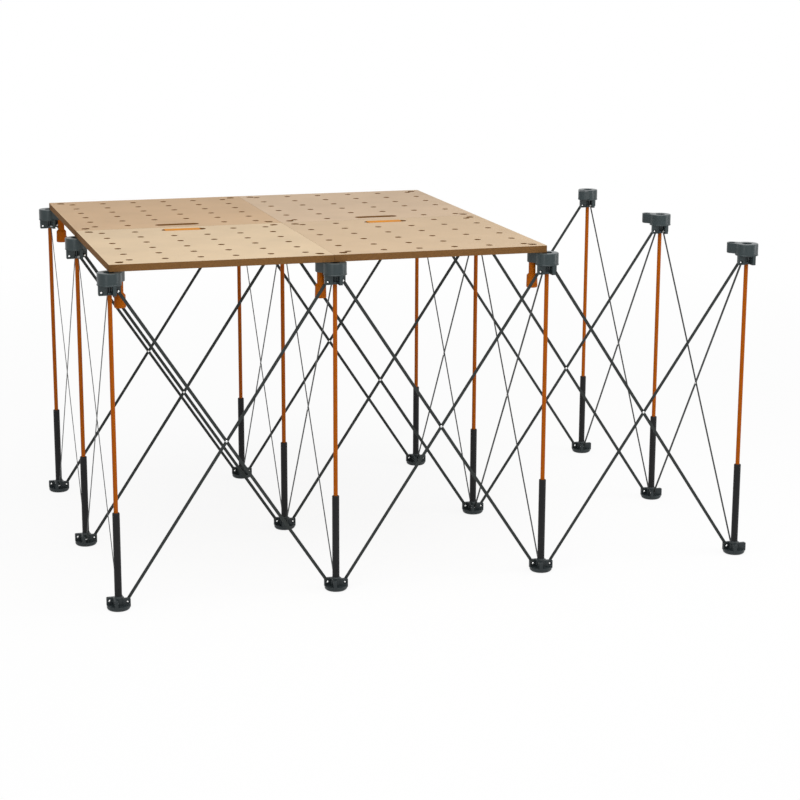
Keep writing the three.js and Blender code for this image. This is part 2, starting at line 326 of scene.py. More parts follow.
def in_order(solid):
    """The same solid with its corners and faces sorted, since a bevel leaves them in no fixed order."""
    corners = sorted(solid.verts, key=lambda corner: corner.co[:])
    numbers = {corner: number for number, corner in enumerate(corners)}
    loops = []
    for face in solid.faces:
        loop = [numbers[corner] for corner in face.verts]
        first = loop.index(min(loop))
        loops.append(loop[first:] + loop[:first])
    ordered = bmesh.new()
    placed = [ordered.verts.new(corner.co) for corner in corners]
    for loop in sorted(loops):
        ordered.faces.new([placed[number] for number in loop])
    ordered.normal_update()
    solid.free()
    return ordered


def moved(solid, matrix):
    bmesh.ops.transform(solid, matrix=matrix, verts=solid.verts[:])
    bmesh.ops.recalc_face_normals(solid, faces=solid.faces[:])
    return solid


def turned(angle, axis="Z"):
    return Matrix.Rotation(angle, 4, axis)


def combined(body, tool, operation):
    """body with tool joined to it (UNION) or cut from it (DIFFERENCE). Both are used up.
    Flat faces are merged after it, slivers are taken out and a facet lost on the way is filled again."""
    scratch = []
    for solid in (body, tool):
        mesh = bpy.data.meshes.new("scratch")
        solid.to_mesh(mesh)
        solid.free()
        made = bpy.data.objects.new("scratch", mesh)
        bpy.context.scene.collection.objects.link(made)
        scratch.append(made)
    modifier = scratch[0].modifiers.new("combine", "BOOLEAN")
    modifier.operation = operation
    modifier.solver = "EXACT"
    modifier.object = scratch[1]
    result = bmesh.new()
    result.from_object(scratch[0], bpy.context.evaluated_depsgraph_get())
    for made in scratch:
        bpy.data.meshes.remove(made.data)
    bmesh.ops.remove_doubles(result, verts=result.verts[:], dist=WELD_DISTANCE)
    bmesh.ops.dissolve_limit(
        result, angle_limit=math.radians(MERGE_ANGLE), verts=result.verts[:], edges=result.edges[:]
    )
    bmesh.ops.dissolve_degenerate(result, dist=WELD_DISTANCE, edges=result.edges[:])
    bmesh.ops.holes_fill(result, edges=result.edges[:], sides=0)
    return result


def meshed(solid, name, *materials, smooth_angle=SMOOTH_ANGLE):
    """A mesh in metres, shaded smooth up to an angle, with many-sided faces split into triangles."""
    many_sided = [face for face in solid.faces if len(face.verts) > 4]
    bmesh.ops.triangulate(solid, faces=many_sided, ngon_method="BEAUTY")
    bmesh.ops.scale(solid, vec=(MM, MM, MM), verts=solid.verts[:])
    mesh = bpy.data.meshes.new(name)
    solid.to_mesh(mesh)
    solid.free()
    for face in mesh.polygons:
        face.use_smooth = True
    mesh.set_sharp_from_angle(angle=math.radians(smooth_angle))
    for material in materials:
        mesh.materials.append(material)
    return mesh


def piece(name, mesh, body, place=(0, 0, 0), turn=None, stands_for=None):
    """One piece of the stand, riding on its body. place is in millimetres."""
    made = bpy.data.objects.new(name, mesh)
    bpy.context.scene.collection.objects.link(made)
    made.matrix_world = Matrix.Translation(Vector(place) * MM) @ (turn or Matrix())
    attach(made, body)
    if stands_for:
        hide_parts(stands_for)


# Materials. Most of a noise pattern lies between NOISE_LOW and NOISE_HIGH.
NOISE_LOW = 0.3
NOISE_HIGH = 0.7


class Finish:
    """A principled material whose colour, roughness and relief come from noise over the piece."""

    def __init__(self, name, shine=0.5, metallic=0.0):
        self.material = bpy.data.materials.new(name)
        self.material.use_nodes = True
        self.nodes = self.material.node_tree.nodes
        self.links = self.material.node_tree.links
        self.shader = self.nodes["Principled BSDF"]
        self.shader.inputs["Metallic"].default_value = metallic
        self.shader.inputs["Specular IOR Level"].default_value = shine
        self.coordinates = self.nodes.new("ShaderNodeTexCoord").outputs["Object"]

    def noise(self, scale, detail, stretch=(1, 1, 1), shift=(0, 0, 0)):
        mapping = self.nodes.new("ShaderNodeMapping")
        mapping.inputs["Scale"].default_value = stretch
        mapping.inputs["Location"].default_value = shift
        texture = self.nodes.new("ShaderNodeTexNoise")
        texture.inputs["Scale"].default_value = scale
        texture.inputs["Detail"].default_value = detail
        self.links.new(self.coordinates, mapping.inputs["Vector"])
        self.links.new(mapping.outputs["Vector"], texture.inputs["Vector"])
        return texture.outputs["Fac"]

    def mixed(self, first, second, share):
        """Two patterns in one, the second with the given share."""
        mix = self.nodes.new("ShaderNodeMix")
        mix.inputs["Factor"].default_value = share
        self.links.new(first, mix.inputs["A"])
        self.links.new(second, mix.inputs["B"])
        return mix.outputs["Result"]

    def colour(self, pattern, stops):
        """Tones over a pattern. A stop is a value of the pattern and its tone."""
        ramp = self.nodes.new("ShaderNodeValToRGB")
        elements = ramp.color_ramp.elements
        while len(elements) < len(stops):
            elements.new(0.5)
        for element, (position, tone) in zip(elements, stops):
            element.position = position
            element.color = (*linear(tone), 1)
        self.links.new(pattern, ramp.inputs["Fac"])
        self.links.new(ramp.outputs["Color"], self.shader.inputs["Base Color"])

    def roughness(self, pattern, low, high):
        spread = self.nodes.new("ShaderNodeMapRange")
        spread.inputs["From Min"].default_value = NOISE_LOW
        spread.inputs["From Max"].default_value = NOISE_HIGH
        spread.inputs["To Min"].default_value = low
        spread.inputs["To Max"].default_value = high
        self.links.new(pattern, spread.inputs["Value"])
        self.links.new(spread.outputs["Result"], self.shader.inputs["Roughness"])

    def relief(self, pattern, strength, depth):
        """Fine relief, with its depth in millimetres."""
        bump = self.nodes.new("ShaderNodeBump")
        bump.inputs["Strength"].default_value = strength
        bump.inputs["Distance"].default_value = depth * MM
        self.links.new(pattern, bump.inputs["Height"])
        self.links.new(bump.outputs["Normal"], self.shader.inputs["Normal"])


def linear(tone):
    """An sRGB tone of 0 to 255 as linear light."""
    made = []
    for value in tone:
        share = value / 255
        made.append(share / 12.92 if share <= 0.04045 else ((share + 0.055) / 1.055) ** 2.4)
    return made


def scaled(tone, factor):
    return tuple(value * factor for value in tone)


def moulded_plastic(name, tone, shine, rough):
    finish = Finish(name, shine)
    grain = finish.noise(scale=1400, detail=2)
    cloud = finish.noise(scale=38, detail=4)
    pattern = finish.mixed(cloud, grain, share=0.3)
    finish.colour(pattern, [(NOISE_LOW, scaled(tone, 0.94)), (NOISE_HIGH, scaled(tone, 1.06))])
    finish.roughness(cloud, *rough)
    finish.relief(grain, strength=0.03, depth=0.03)
    return finish.material


def powder_coat(name, tone, shine, rough):
    finish = Finish(name, shine)
    peel = finish.noise(scale=900, detail=3)
    cloud = finish.noise(scale=30, detail=3)
    pattern = finish.mixed(cloud, peel, share=0.3)
    finish.colour(pattern, [(NOISE_LOW, scaled(tone, 0.96)), (NOISE_HIGH, scaled(tone, 1.04))])
    finish.roughness(cloud, *rough)
    finish.relief(peel, strength=0.15, depth=0.05)
    return finish.material


def zinc_plate(name):
    finish = Finish(name, metallic=1.0)
    spangle = finish.noise(scale=420, detail=4)
    finish.colour(spangle, [(0.35, (205, 207, 208)), (0.65, (238, 238, 235))])
    finish.roughness(spangle, low=0.2, high=0.38)
    finish.relief(spangle, strength=0.2, depth=0.05)
    return finish.material


def board_face(name, tone, shift):
    """Sanded fibreboard: fine fibre speckle over faint blotches."""
    finish = Finish(name, shine=0.2)
    speckle = finish.noise(scale=620, detail=5, stretch=(1, 1.6, 1), shift=shift)
    blotch = finish.noise(scale=7, detail=4, shift=shift)
    pattern = finish.mixed(blotch, speckle, share=0.55)
    stops = [(0.32, scaled(tone, 0.95)), (0.5, tone), (0.66, scaled(tone, 1.035))]
    finish.colour(pattern, stops)
    finish.roughness(speckle, low=0.5, high=0.66)
    finish.relief(speckle, strength=0.2, depth=0.1)
    return finish.material


def board_edge(name, tone, shift):
    """Cut fibreboard edge: darker, with fibres lying along the board."""
    finish = Finish(name, shine=0.1)
    fibres = finish.noise(scale=160, detail=5, stretch=(1, 1, 9), shift=shift)
    speckle = finish.noise(scale=700, detail=4, shift=shift)
    pattern = finish.mixed(fibres, speckle, share=0.45)
    stops = [(NOISE_LOW, scaled(tone, 0.82)), (0.5, tone), (NOISE_HIGH, scaled(tone, 1.14))]
    finish.colour(pattern, stops)
    finish.roughness(speckle, low=0.66, high=0.85)
    finish.relief(fibres, strength=0.4, depth=0.2)
    return finish.material


HEAD_PLASTIC = moulded_plastic("head_plastic", (44, 56, 58), shine=0.42, rough=(0.27, 0.35))
FOOT_PLASTIC = moulded_plastic("foot_plastic", (41, 48, 50), shine=0.3, rough=(0.36, 0.48))
SLEEVE_BLACK = moulded_plastic("sleeve_black", (34, 34, 35), shine=0.15, rough=(0.4, 0.52))
PEG_PLASTIC = moulded_plastic("peg_plastic", (184, 95, 2), shine=0.1, rough=(0.36, 0.5))
HANDLE_PLASTIC = moulded_plastic("handle_plastic", (208, 132, 22), shine=0.02, rough=(0.4, 0.55))
HINGE_PLASTIC = moulded_plastic("hinge_plastic", (150, 118, 84), shine=0.2, rough=(0.5, 0.65))
STRUT_COAT = powder_coat("strut_coat", (175, 86, 0), shine=0.1, rough=(0.26, 0.38))
BAR_COAT = powder_coat("bar_coat", (53, 57, 56), shine=0.15, rough=(0.34, 0.48))
ZINC = zinc_plate("zinc")
EDGE_TONE = (128, 91, 52)
# Tone of each panel of one board. The left rear panel's darker tone is partly painted shade, for less
# light at the back of the top.
PANEL_TONES_AND_SHADE = {
    ("left", "front"): (206, 182, 149),
    ("right", "front"): (196, 170, 138),
    ("left", "rear"): (193, 161, 125),
    ("right", "rear"): (198, 172, 143),
}
BOARD_SHIFT = (3.1, 2.3, 0.7)  # moves the noise from panel to panel, so that no two are alike


# Pinwheel lugs: one toward each side, in the head hanging down and in the foot standing up
def lug(reach, low, high, hand):
    """Lug toward +X, between two heights. It lies on the +Y side of its bar where hand is +1."""
    outline = rounded_box((LUG_START, low), (reach, high), LUG_CORNER)
    plate = prism(outline, [], LUG_INNER, LUG_OUTER, LUG_EDGE, LUG_EDGE)
    to_side = Matrix(((1, 0, 0, 0), (0, 0, hand, 0), (0, 1, 0, 0), (0, 0, 0, 1)))
    return moved(plate, to_side)


def with_lugs(body, reach, low, high, pivot, hand, bored):
    """The body with four lugs, the bored ones with a pin hole and a counterbore on the outer face."""
    for turn in TURNS:
        body = combined(body, moved(lug(reach, low, high, hand), turned(turn * QUARTER)), "UNION")
    bore_floor = LUG_OUTER - COUNTERBORE_DEPTH
    bore_end = LUG_OUTER + LUG_EDGE
    profile = [
        (0, LUG_INNER - LUG_EDGE), (PIN_HOLE, LUG_INNER - LUG_EDGE), (PIN_HOLE, bore_floor),
        (COUNTERBORE_RADIUS, bore_floor), (COUNTERBORE_RADIUS, bore_end), (0, bore_end),
    ]
    for turn in bored:
        bore = moved(lathe(profile, SMALL_SIDES), across_bar(pivot, hand))
        body = combined(body, moved(bore, turned(turn * QUARTER)), "DIFFERENCE")
    return body


def across_bar(pivot, hand):
    """Turns what stands on Z to lie across a bar toward +X, at its pivot."""
    return Matrix.Translation((PIVOT_REACH, 0, pivot)) @ turned(-hand * QUARTER, "X")


def dome(face):
    """Profile of a rivet's domed head, up to the face that it bears on."""
    bulge = [(RIVET_RADIUS * wide, face - RIVET_DOME * high) for wide, high in DOME_SHARES]
    return [(0, face - RIVET_DOME), *bulge, (RIVET_RADIUS, face)]


def rivets(turns, pivot, hand, studs=()):
    """The rivets of one head or foot: a dome in the counterbore, a shank and a dome on the bar.
    studs are the turns of the lugs without a bar, which have a bare dome on their inner face."""
    bar_face = BAR_OFFSET - BAR_THICKNESS / 2 - RIVET_GAP
    bore_floor = LUG_OUTER - COUNTERBORE_DEPTH + RIVET_GAP
    stud_face = LUG_INNER - RIVET_GAP
    stud = [*dome(stud_face), (0, stud_face)]
    tail = [(RIVET_TAIL_RADIUS * wide, bore_floor + RIVET_DOME * high) for wide, high in TAIL_SHARES]
    rivet = [
        *dome(bar_face),
        (PIN_RADIUS, bar_face),
        (PIN_RADIUS, bore_floor),
        (RIVET_TAIL_RADIUS, bore_floor),
        *tail,
    ]
    together = bmesh.new()
    for profile, places in ((rivet, turns), (stud, studs)):
        for turn in places:
            one = moved(lathe(profile, SMALL_SIDES), across_bar(pivot, hand))
            append(together, moved(one, turned(turn * QUARTER)))
    return together


def append(together, solid):
    """Adds a separate solid to a group of solids."""
    mesh = bpy.data.meshes.new("scratch")
    solid.to_mesh(mesh)
    solid.free()
    together.from_mesh(mesh)
    bpy.data.meshes.remove(mesh)


# Head, with its socket, ear and lugs
def head_solid(ear_angle):
    drum_bottom = HEAD_TOP - DRUM_HEIGHT
    hub_bottom = drum_bottom - HEAD_HUB_LENGTH
    rim = arc(DRUM_RADIUS - DRUM_RIM, HEAD_TOP - DRUM_RIM, DRUM_RIM, 0, QUARTER, CORNER_STEPS)
    collar_top = hub_bottom + HEAD_COLLAR_HEIGHT
    lip = DRUM_RADIUS + DRUM_LIP
    profile = [
        (0, hub_bottom),
        (HEAD_COLLAR_RADIUS - LUG_EDGE, hub_bottom),
        (HEAD_COLLAR_RADIUS, hub_bottom + LUG_EDGE),
        (HEAD_COLLAR_RADIUS, collar_top),
        (HEAD_HUB_RADIUS, collar_top),
        (HEAD_HUB_RADIUS, drum_bottom),
        (DRUM_RADIUS, drum_bottom),
        (lip, drum_bottom + DRUM_LIP),
        (lip, drum_bottom + DRUM_LIP_HEIGHT),
        (DRUM_RADIUS, drum_bottom + DRUM_LIP_HEIGHT + DRUM_LIP),
        *rim,
        (SOCKET_RADIUS + SOCKET_LIP, HEAD_TOP),
        (SOCKET_RADIUS, HEAD_TOP - SOCKET_LIP),
        (SOCKET_RADIUS, HEAD_TOP - SOCKET_DEPTH),
        (0, HEAD_TOP - SOCKET_DEPTH),
    ]
    body = lathe(profile, ROUND_SIDES)
    slope = math.asin((EAR_ROOT - EAR_RADIUS) / EAR_REACH)
    around = arc(EAR_REACH, 0, EAR_RADIUS, slope - QUARTER, QUARTER - slope, EAR_STEPS)
    start = SOCKET_RADIUS + DRUM_RIM
    half = (EAR_ROOT - start * math.sin(slope)) / math.cos(slope)
    outline = [(start, -half), *around, (start, half)]
    bore = circle(EAR_REACH, 0, EAR_HOLE, SMALL_SIDES)
    ear_top = HEAD_TOP - EAR_DROP
    ear = prism(outline, [bore], HEAD_TOP - EAR_HEIGHT, ear_top, EAR_FOOT, EAR_RIM)
    body = combined(body, moved(ear, turned(ear_angle)), "UNION")
    lug_bottom = drum_bottom - HEAD_LUG_LENGTH
    lug_top = drum_bottom + 2 * LUG_CORNER
    return with_lugs(body, HEAD_LUG_REACH, lug_bottom, lug_top, HEAD_PIVOT, HEAD_HAND, TURNS)


def strut_solid():
    top = HEAD_TOP - DRUM_HEIGHT - HEAD_HUB_LENGTH / 2
    profile = [
        (0, STRUT_TOE),
        (STRUT_RADIUS - STRUT_EDGE, STRUT_TOE),
        (STRUT_RADIUS, STRUT_TOE + STRUT_EDGE),
        (STRUT_RADIUS, top),
        (0, top),
    ]
    return lathe(profile, ROUND_SIDES)


def peg_solid():
    """Locking peg on its own axis: ridged neck, shoulder and a grip that flares to its foot."""
    ear_bottom = HEAD_TOP - EAR_HEIGHT
    tip = HEAD_TOP - PEG_TIP_DROP
    neck_bottom = ear_bottom - PEG_NECK_LENGTH
    foot = ear_bottom - PEG_LENGTH
    profile = [
        (0, foot + PEG_EDGE),
        (PEG_NECK, foot + PEG_EDGE),
        (PEG_NECK + PEG_EDGE, foot),
        (PEG_FLARE - PEG_EDGE, foot),
        (PEG_FLARE, foot + PEG_EDGE),
        (PEG_GRIP, neck_bottom - PEG_SHOULDER),
        (PEG_GRIP - PEG_EDGE / 2, neck_bottom - PEG_SHOULDER + PEG_EDGE / 2),
        (PEG_NECK, neck_bottom),
        (PEG_NECK, neck_bottom + PEG_COLLAR),
        (PEG_NECK, neck_bottom + 2 * PEG_COLLAR, "fluted"),
        (PEG_NECK, ear_bottom - PEG_COLLAR, "fluted"),
        (PEG_NECK, ear_bottom),
        (PEG_NECK, tip - PEG_EDGE),
        (PEG_NECK - PEG_EDGE, tip),
        (0, tip),
    ]

    def groove(side):
        return -PEG_RIDGE_DEPTH if side % RIDGE_SIDES < RIDGE_SIDES / 2 else 0

    return lathe(profile, PEG_RIDGES * RIDGE_SIDES, groove)


# Foot, with its collar and lugs, and the sleeve that stands in it
def foot_solid(bored):
    sole = arc(FOOT_RADIUS - FOOT_ROUND, FOOT_ROUND, FOOT_ROUND, -QUARTER, 0, SOLE_STEPS)
    sweep = arc(FOOT_HUB, FOOT_TOP, COLLAR_SWEEP, -QUARTER, -2 * QUARTER, SWEEP_STEPS)
    profile = [
        (0, 0),
        *sole,
        (FOOT_RADIUS - LUG_EDGE, FOOT_PLATE),
        (FOOT_HUB, FOOT_PLATE),
        *sweep,
        (0, FOOT_TOP),
    ]
    body = lathe(profile, ROUND_SIDES)
    lug_bottom = FOOT_PLATE - 2 * LUG_CORNER
    return with_lugs(body, FOOT_LUG_REACH, lug_bottom, FOOT_HEIGHT, FOOT_PIVOT, FOOT_HAND, bored)


def sleeve_solid():
    shoulder_bottom = SLEEVE_TOP - SLEEVE_SHOULDER
    shoulder_inside = SLEEVE_RADIUS - SLEEVE_SHOULDER
    profile = [
        (0, FOOT_HEIGHT),
        (SLEEVE_RADIUS, FOOT_HEIGHT),
        (SLEEVE_RADIUS, FOOT_TOP),
        (SLEEVE_RADIUS, FOOT_TOP + SLEEVE_BAND, "fluted"),
        (SLEEVE_RADIUS, shoulder_bottom - SLEEVE_BAND, "fluted"),
        *arc(shoulder_inside, shoulder_bottom, SLEEVE_SHOULDER, 0, QUARTER, CORNER_STEPS),
        (SLEEVE_BORE, SLEEVE_TOP),
        (SLEEVE_BORE, FOOT_TOP),
        (0, FOOT_TOP),
    ]

    def flute(side):
        return -SLEEVE_FLUTE_DEPTH if side % RIDGE_SIDES == 0 else 0

    tube = lathe(profile, SLEEVE_FLUTES * RIDGE_SIDES, flute)
    hole_floor = SLEEVE_RADIUS - SLEEVE_HOLE_DEPTH
    hole_end = SLEEVE_RADIUS + SLEEVE_HOLE_DEPTH
    drill = [
        (0, hole_floor), (SLEEVE_HOLE_RADIUS, hole_floor),
        (SLEEVE_HOLE_RADIUS, hole_end), (0, hole_end),
    ]
    to_front = Matrix.Translation((0, 0, SLEEVE_HOLE_HEIGHT)) @ turned(QUARTER, "X")
    return combined(tube, moved(lathe(drill, HOLE_SIDES), to_front), "DIFFERENCE")


# Scissor bars
RISE = HEAD_PIVOT - FOOT_PIVOT
RUN = LEG_PITCH - 2 * PIVOT_REACH
BAR_LENGTH = math.hypot(RUN, RISE)
BAR_TILT = math.atan2(RISE, RUN)


def bar_solid():
    """Bar along X, flat toward Y, with its middle at the origin."""
    outline = stadium(0, 0, BAR_LENGTH + BAR_WIDTH, BAR_WIDTH, BAR_END_STEPS)
    holes = [circle(place, 0, PIN_HOLE, HOLE_SIDES) for place in (-BAR_LENGTH / 2, 0, BAR_LENGTH / 2)]
    plate = prism(outline, holes, -BAR_THICKNESS / 2, BAR_THICKNESS / 2, BAR_EDGE, BAR_EDGE)
    return moved(plate, turned(QUARTER, "X"))


def crossing_rivet_solid():
    """Rivet through two crossed bars, with its middle at the origin and its axis along Y."""
    face = BAR_OFFSET + BAR_THICKNESS / 2 + RIVET_GAP
    lower = dome(-face)
    upper = [(radius, -height) for radius, height in reversed(lower)]
    profile = [*lower, (PIN_RADIUS, -face), (PIN_RADIUS, face), *upper]
    return moved(lathe(profile, SMALL_SIDES), turned(QUARTER, "X"))


# Panels
PANEL_WIDTH = LEG_PITCH - HALF_GAP
EAR_OFFSET = EAR_REACH * math.sqrt(0.5)  # of an ear's hole from its leg, along X and along Y
LEVEL_NORMAL = 0.8  # a face whose normal is more upright shows sanded board, and the others a cut edge


def keyhole(x, y, inward):
    """Round hole with a tail in the direction inward."""
    mouth = math.asin(KEYHOLE_TAIL_WIDTH / 2 / KEYHOLE_RADIUS)
    tail_x = x + KEYHOLE_TAIL_LENGTH * math.cos(inward)
    tail_y = y + KEYHOLE_TAIL_LENGTH * math.sin(inward)
    bow = arc(x, y, KEYHOLE_RADIUS, inward + mouth, inward - mouth + 2 * math.pi, BOW_STEPS)
    tail = arc(tail_x, tail_y, KEYHOLE_TAIL_WIDTH / 2, inward - QUARTER, inward + QUARTER, TAIL_STEPS)
    return [*bow, *tail]


def panel_solid(side, dog_edge):
    """Square panel about the origin of its leg bay. side is -1 for the front panel and +1 for the rear.
    dog_edge is how far the outer dog holes lie from the panel's edges."""
    first = dog_edge - LEG_PITCH / 2
    pitch = (LEG_PITCH - 2 * dog_edge) / (DOGS_PER_SIDE - 1)
    seam = -side * LEG_PITCH / 2
    near, far = sorted((seam + side * SEAM_WIDTH / 2, -seam))
    outline = rounded_box((-PANEL_WIDTH / 2, near), (PANEL_WIDTH / 2, far), PANEL_CORNER)
    slot_y = seam + side * HAND_SLOT_EDGE
    holes = [stadium(0, slot_y, HAND_SLOT_LENGTH, HAND_SLOT_WIDTH, SLOT_END_STEPS)]
    # Row 0 lies at the seam, where the hand slot takes the place of the two middle holes
    for row in range(DOGS_PER_SIDE):
        for place in range(DOGS_PER_SIDE):
            x = first + place * pitch
            if row > 0 or abs(x) > pitch:
                holes.append(circle(x, side * (first + row * pitch), DOG_RADIUS, DOG_SIDES))
    corner = LEG_PITCH / 2 - EAR_OFFSET
    for across in (-1, 1):
        for along in (-1, 1):
            holes.append(keyhole(across * corner, along * corner, math.atan2(-along, -across)))
    solid = prism(outline, holes, TOP_BOTTOM, TOP_SURFACE, PANEL_EDGE, PANEL_EDGE)
    for face in solid.faces:
        face.material_index = 0 if abs(face.normal.z) > LEVEL_NORMAL else 1
    return solid


def handle_solid():
    """Handle bar between the long walls of the front panel's hand slot, about the slot's middle."""
    half = HANDLE_LENGTH / 2
    reach = (HAND_SLOT_WIDTH - HANDLE_CLEARANCE) / 2
    outline = rounded_box((-half, -reach), (half, reach), HANDLE_EDGE * 2)
    low = TOP_BOTTOM + HANDLE_RECESS
    high = TOP_SURFACE + HANDLE_RISE
    return prism(outline, [], low, high, HANDLE_EDGE, HANDLE_EDGE)


def hinge_solid():
    half = PANEL_WIDTH / 2 - PANEL_CORNER
    reach = SEAM_WIDTH / 2 - RIVET_GAP
    outline = rounded_box((-half, -reach), (half, reach), reach / 2)
    return prism(outline, [], TOP_BOTTOM + RIVET_GAP, TOP_BOTTOM + HINGE_STRIP, RIVET_GAP, RIVET_GAP)


# Legs
def neighbours(column, row):
    """The quarter turns, from +X, at which a leg has a neighbour."""
    found = (column < len(COLUMNS) - 1, row < len(ROWS) - 1, column > 0, row > 0)
    return [turn for turn, there in enumerate(found) if there]


head_meshes = {}
for ear_x in (-1, 1):
    for ear_y in (-1, 1):
        solid = head_solid(math.atan2(ear_y, ear_x))
        head_meshes[ear_x, ear_y] = meshed(solid, f"head_{ear_x}_{ear_y}", HEAD_PLASTIC)
foot_meshes = {}
strut_mesh = meshed(strut_solid(), "strut", STRUT_COAT)
sleeve_mesh = meshed(sleeve_solid(), "sleeve", SLEEVE_BLACK)
peg_mesh = meshed(peg_solid(), "peg", PEG_PLASTIC)

for column, column_name in enumerate(COLUMNS):
    for row, row_name in enumerate(ROWS):
        leg = column_name + row_name
        upper = f"leg_{leg}_upper"
        lower = f"leg_{leg}_lower"
        place = leg_axis(leg)
        turns = neighbours(column, row)
        ear_x = 1 if column == 0 else -1
        ear_y = -1 if row == len(ROWS) - 1 else 1
        piece(f"head_{leg}", head_meshes[ear_x, ear_y], upper, place, stands_for=upper)
        piece(f"strut_{leg}", strut_mesh, upper, place)
        head_rivets = meshed(rivets(turns, HEAD_PIVOT, HEAD_HAND), f"head_rivets_{leg}", ZINC)
        piece(f"head_rivets_{leg}", head_rivets, upper, place)
        if column <= len(HALF_TOPS) and row in (0, len(ROWS) - 1):
            ear = Vector((ear_x * EAR_OFFSET, ear_y * EAR_OFFSET, 0))
            piece(f"peg_{leg}", peg_mesh, upper, place + ear)
        links = tuple(turns)
        if links not in foot_meshes:
            foot_meshes[links] = meshed(foot_solid(turns), f"foot_{leg}", FOOT_PLASTIC)
        piece(f"foot_{leg}", foot_meshes[links], lower, place, stands_for=lower)
        piece(f"sleeve_{leg}", sleeve_mesh, lower, place)
        studs = [turn for turn in TURNS if turn not in turns]
        foot_rivets = meshed(rivets(turns, FOOT_PIVOT, FOOT_HAND, studs), f"foot_rivets_{leg}", ZINC)
        piece(f"foot_rivets_{leg}", foot_rivets, lower, place)

# Scissor pairs
bar_mesh = meshed(bar_solid(), "bar", BAR_COAT)
crossing_mesh = meshed(crossing_rivet_solid(), "crossing_rivet", ZINC)


def scissor_pair(first, second, turn, even_foot):
    """Two bars between neighbouring legs. turn points from the first leg to the second."""
    middle = (leg_axis(first) + leg_axis(second)) / 2 + Vector((0, 0, (HEAD_PIVOT + FOOT_PIVOT) / 2))
    facing = turned(turn)
    for foot, head, side in ((first, second, -1), (second, first, 1)):
        node = f"link_foot_{foot}_head_{head}"
        place = middle + facing @ Vector((0, side * BAR_OFFSET, 0))
        tilt = facing @ turned(side * BAR_TILT, "Y")
        piece(f"bar_foot_{foot}_head_{head}", bar_mesh, node, place, tilt, node)
        if even_foot == (side < 0):
            piece(f"rivet_{first}_{second}", crossing_mesh, node, middle, tilt)


for column, column_name in enumerate(COLUMNS):
    for row, row_name in enumerate(ROWS):
        here = column_name + row_name
        even_foot = (column + row) % 2 == 0
        if column + 1 < len(COLUMNS):
            scissor_pair(here, COLUMNS[column + 1] + row_name, 0, even_foot)
        if row + 1 < len(ROWS):
            scissor_pair(here, column_name + ROWS[row + 1], QUARTER, even_foot)

# Half tops
handle_mesh = meshed(handle_solid(), "handle", HANDLE_PLASTIC)
hinge_mesh = meshed(hinge_solid(), "hinge", HINGE_PLASTIC)
for column, half in enumerate(HALF_TOPS):
    body = f"top_{half}"
    low, high = box_mm(body)
    middle_x = (low.x + high.x) / 2
    for side, word in ((-1, "front"), (1, "rear")):
        shift = [step * count for step, count in zip(BOARD_SHIFT, (column, side, 1))]
        face = board_face(f"board_{half}_{word}", PANEL_TONES_AND_SHADE[half, word], shift)
        edge = board_edge(f"board_edge_{half}_{word}", EDGE_TONE, shift)
        solid = panel_solid(side, DOG_EDGES[half])
        panel = meshed(solid, f"panel_{half}_{word}", face, edge, smooth_angle=FLAT_ANGLE)
        place = (middle_x, side * LEG_PITCH / 2, 0)
        piece(f"panel_{half}_{word}", panel, body, place, stands_for=body)
    handle_place = (middle_x - HANDLE_SHIFT, -HAND_SLOT_EDGE, 0)
    piece(f"handle_{half}", handle_mesh, body, handle_place)
    piece(f"hinge_{half}", hinge_mesh, body, (middle_x, 0, 0))

# Stage: pale floor, white surroundings, soft light and the camera
FLOOR_SIZE = 60
FLOOR_CELLS = 4
FLOOR_TONE = 0.68
SHADOW_SHARE = 0.12
SHADOW_REACH = 5
WORLD_LIGHT = 0.42
# Area lamps: name, place, target, width, height and power
LAMPS = (
    ("overhead", (-0.4, -1.4, 3.4), (-0.3, 0.0, 0.9), 3.0, 3.0, 72),
    ("front", (-3.0, -3.6, 1.5), (-0.3, 0.0, 0.6), 0.5, 2.8, 13),
    ("fill", (0.6, -5.6, 1.7), (0.0, 0.0, 0.5), 3.4, 2.6, 14),
    ("right", (2.9, -1.3, 1.4), (0.7, 0.0, 0.4), 1.0, 2.4, 21),
)
CAMERA_PLACE = (-1.7034, -5.8599, 1.8342)
CAMERA_AZIMUTH = math.radians(16.781)
CAMERA_DIP = math.radians(13.364)
CAMERA_ROLL = math.radians(0.239)
CAMERA_LENS = 91.86


def from_camera(tree):
    """1 for what the camera sees, straight, mirrored or through glass, and 0 for the light on things."""
    path = tree.nodes.new("ShaderNodeLightPath")
    total = path.outputs["Is Camera Ray"]
    for kind in ("Is Glossy Ray", "Is Transmission Ray"):
        larger = tree.nodes.new("ShaderNodeMath")
        larger.operation = "MAXIMUM"
        tree.links.new(total, larger.inputs[0])
        tree.links.new(path.outputs[kind], larger.inputs[1])
        total = larger.outputs["Value"]
    return total


def mix_shaders(tree, factor, first, second):
    mix = tree.nodes.new("ShaderNodeMixShader")
    tree.links.new(factor, mix.inputs["Fac"])
    tree.links.new(first.outputs[0], mix.inputs[1])
    tree.links.new(second.outputs[0], mix.inputs[2])
    return mix


def fading_share(tree):
    """The share of shadow in the floor's white, which fades out away from the stand."""
    place = tree.nodes.new("ShaderNodeTexCoord").outputs["Object"]
    mapping = tree.nodes.new("ShaderNodeMapping")
    mapping.inputs["Scale"].default_value = (1 / SHADOW_REACH, 1 / SHADOW_REACH, 1)
    fade = tree.nodes.new("ShaderNodeTexGradient")
    fade.gradient_type = "SPHERICAL"
    spread = tree.nodes.new("ShaderNodeMapRange")
    spread.inputs["To Max"].default_value = SHADOW_SHARE
    tree.links.new(place, mapping.inputs["Vector"])
    tree.links.new(mapping.outputs["Vector"], fade.inputs["Vector"])
    tree.links.new(fade.outputs["Fac"], spread.inputs["Value"])
    return spread.outputs["Result"]


